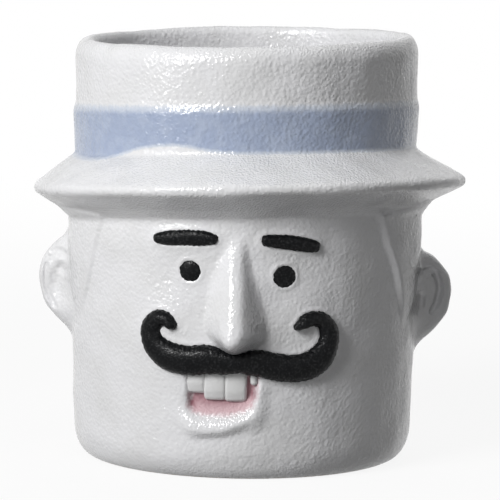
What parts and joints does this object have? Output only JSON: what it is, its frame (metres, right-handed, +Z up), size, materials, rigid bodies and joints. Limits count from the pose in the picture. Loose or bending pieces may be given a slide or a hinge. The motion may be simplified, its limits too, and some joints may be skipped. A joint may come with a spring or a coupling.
{
  "type": "ceramic face planter",
  "caption": "Round glazed planter shaped as a moustached head in a brimmed hat, open at the crown for a plant, with a lift-out drain bung.",
  "frame": {"origin": "on the foot plane, under the middle of the hat brim", "axes": "+Z up; the face looks along -Y; +X is the right of a viewer who faces the nose"},
  "size_m": [0.132, 0.132, 0.129],
  "materials": {
    "white_glaze": "glossy orange-peel glaze",
    "blue_glaze": "satin underglaze colour",
    "black_glaze": "matt black, thick",
    "pink_glaze": "satin underglaze colour",
    "plug_rubber": "matt"
  },
  "bodies": {
    "planter": {"pot_body": "white_glaze", "hat_brim": "white_glaze", "hat_band": "blue_glaze", "nose": "white_glaze", "left_ear": "white_glaze", "right_ear": "white_glaze", "left_eyebrow": "black_glaze", "right_eyebrow": "black_glaze", "left_eye": "black_glaze", "right_eye": "black_glaze", "moustache": "black_glaze", "left_tooth": "white_glaze", "middle_tooth": "white_glaze", "right_tooth": "white_glaze", "corner_tooth": "white_glaze", "mouth_lining": "pink_glaze", "lower_lip": "white_glaze", "left_sideburn": "white_glaze", "right_sideburn": "white_glaze"},
    "drain_plug": {"drain_plug": "plug_rubber"}
  },
  "joints": [
    {"name": "drain_plug_lift", "type": "slide", "parent": "planter", "child": "drain_plug", "axis": [0, 0, 1], "range_m": [0, 0.03]}
  ]
}
